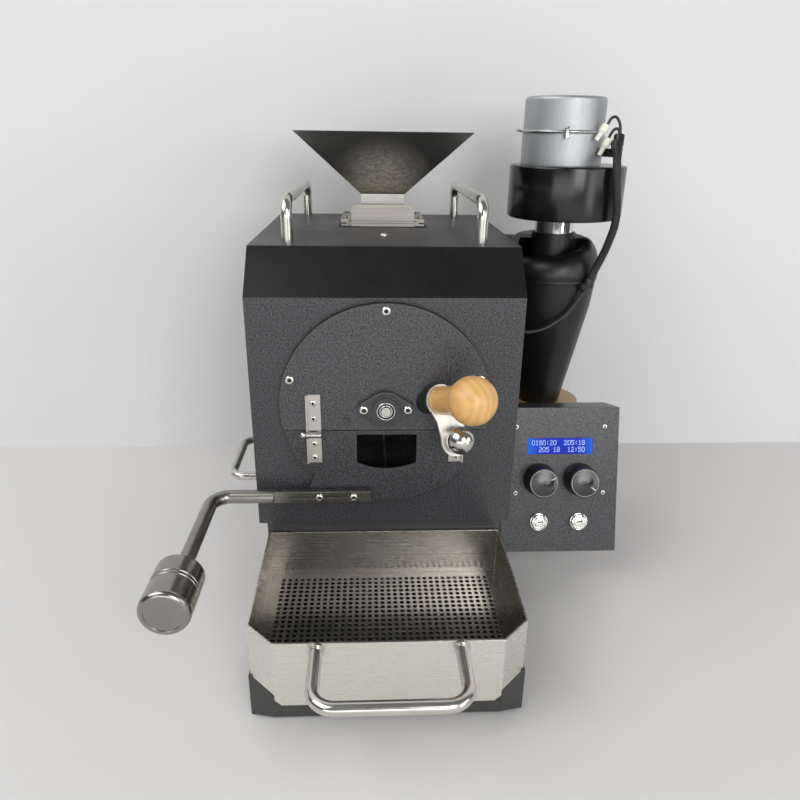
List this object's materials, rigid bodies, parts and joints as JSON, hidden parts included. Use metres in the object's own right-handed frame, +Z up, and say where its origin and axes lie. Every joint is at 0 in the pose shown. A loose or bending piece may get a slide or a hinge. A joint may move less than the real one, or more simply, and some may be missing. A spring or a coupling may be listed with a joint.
{
  "type": "home coffee bean roaster",
  "caption": "Tabletop drum coffee roaster with hinged discharge door, weighted lever, cooling tray, feed hopper, cyclone with blower, and a tilted control box.",
  "frame": {"origin": "on the worktop under the middle of the cabinet's front face", "axes": "+X to the right of someone facing the machine, +Y to its back, +Z up"},
  "size_m": [0.427, 0.477, 0.468],
  "materials": {
    "black_powder_coat": "fine texture powder coat",
    "base_black": "satin powder coat",
    "stainless_brushed": "brushed stainless steel",
    "stainless_polished": "polished stainless steel",
    "machined_steel": "turned steel",
    "dark_metal": "blackened metal",
    "black_plastic": "moulded satin black",
    "gloss_black": "satin black",
    "galvanised": "galvanised sheet",
    "grey_metal": "plain sheet metal",
    "rubber_black": "moulded rubber",
    "beech_wood": "oiled beech",
    "bamboo_wood": "bamboo",
    "clear_glass": "clear glass",
    "ceramic_white": "ceramic and quartz",
    "cable_black": "braided sleeve",
    "display_blue": "backlit display",
    "knob_black": "black knob"
  },
  "bodies": {
    "machine": {"base_box": "base_black", "rubber_feet": "rubber_black", "fan_frame": "black_plastic", "front_panel": "black_powder_coat", "body_shell": "black_powder_coat", "top_cover": "black_powder_coat", "top_handles": "stainless_polished", "mains_inlet": "black_plastic", "face_plate": "black_powder_coat", "bearing_flange": "dark_metal", "bearing_insert": "machined_steel", "temperature_probe": "dark_metal", "case_screws": "machined_steel", "hinge_upper_leaves": "machined_steel", "hinge_pins": "stainless_polished", "trier_sleeve": "dark_metal", "heat_shield": "grey_metal", "heater_tubes": "ceramic_white", "rear_bulkhead": "grey_metal", "gear_motor": "grey_metal", "inlet_chute": "grey_metal", "gate_rails": "stainless_brushed", "hopper": "stainless_brushed", "exhaust_duct": "black_plastic", "cyclone": "black_plastic", "outlet_pipe": "stainless_polished", "jar_lid": "bamboo_wood", "chaff_jar": "clear_glass", "blower_housing": "gloss_black", "blower_motor": "galvanised", "cable_fittings": "black_plastic", "motor_cable": "cable_black", "sensor_lead": "cable_black", "control_box": "black_powder_coat", "control_panel": "black_powder_coat", "display": "display_blue"},
    "tray": {"cooling_tray": "stainless_brushed", "perforated_screen": "stainless_brushed", "tray_handle": "stainless_polished"},
    "drawer": {"chaff_drawer": "black_powder_coat", "drawer_handle": "stainless_polished"},
    "door": {"discharge_door": "black_powder_coat", "window_glass": "clear_glass", "hinge_lower_leaves": "machined_steel", "door_screws": "machined_steel", "door_lever": "stainless_polished", "counterweight": "stainless_polished"},
    "sampler_collar": {"trier_plate": "stainless_brushed", "trier_ball": "stainless_polished"},
    "sampler": {"trier_spoon": "machined_steel", "trier_handle": "beech_wood"},
    "drum": {"drum": "grey_metal", "drum_shaft": "machined_steel"},
    "cooling_fan": {"fan_rotor": "black_plastic"},
    "blower_wheel": {"impeller": "grey_metal"},
    "gate": {"feed_gate": "stainless_brushed"},
    "left_knob": {"knob_left": "knob_black"},
    "right_knob": {"knob_right": "knob_black"},
    "left_button": {"button_left": "stainless_polished"},
    "right_button": {"button_right": "stainless_polished"}
  },
  "joints": [
    {"name": "tray_slide", "type": "slide", "parent": "machine", "child": "tray", "axis": [0, -1, 0], "range_m": [0, 0.12]},
    {"name": "drawer_slide", "type": "slide", "parent": "machine", "child": "drawer", "axis": [-1, 0, 0], "range_m": [0, 0.11]},
    {"name": "door_swing", "type": "hinge", "parent": "machine", "child": "door", "pos_m": [0, -0.0093, 0.191], "axis": [-1, 0, 0], "range_deg": [0, 46]},
    {"name": "sampler_turn", "type": "hinge", "parent": "machine", "child": "sampler_collar", "pos_m": [0.0363, 0, 0.2192], "axis": [-0.4293, 0.8425, -0.3256], "range_deg": [0, 85]},
    {"name": "sampler_pull", "type": "slide", "parent": "sampler_collar", "child": "sampler", "axis": [0.4293, -0.8425, 0.3256], "range_m": [0, 0.045]},
    {"name": "drum_spin", "type": "hinge", "parent": "machine", "child": "drum", "pos_m": [0, 0, 0.215], "axis": [0, -1, 0], "continuous": true},
    {"name": "fan_spin", "type": "hinge", "parent": "machine", "child": "cooling_fan", "pos_m": [0, 0.238, 0.05], "axis": [0, 1, 0], "continuous": true},
    {"name": "blower_spin", "type": "hinge", "parent": "machine", "child": "blower_wheel", "pos_m": [0.188, 0.208, 0.36], "axis": [0, 0, 1], "continuous": true},
    {"name": "gate_slide", "type": "slide", "parent": "machine", "child": "gate", "axis": [0, -1, 0], "range_m": [0, 0.048]},
    {"name": "left_knob_turn", "type": "hinge", "parent": "machine", "child": "left_knob", "pos_m": [0.1536, 0.04561, 0.11595], "axis": [0, -0.9622, 0.2723], "range_deg": [-150, 120]},
    {"name": "right_knob_turn", "type": "hinge", "parent": "machine", "child": "right_knob", "pos_m": [0.1936, 0.04561, 0.11595], "axis": [0, -0.9622, 0.2723], "range_deg": [-30, 240]},
    {"name": "left_button_press", "type": "slide", "parent": "machine", "child": "left_button", "axis": [0, 0.9622, -0.2723], "range_m": [0, 0.0018], "stiffness_N_per_m": 600, "springref_m": -0.0005},
    {"name": "right_button_press", "type": "slide", "parent": "machine", "child": "right_button", "axis": [0, 0.9622, -0.2723], "range_m": [0, 0.0018], "stiffness_N_per_m": 600, "springref_m": -0.0005}
  ]
}
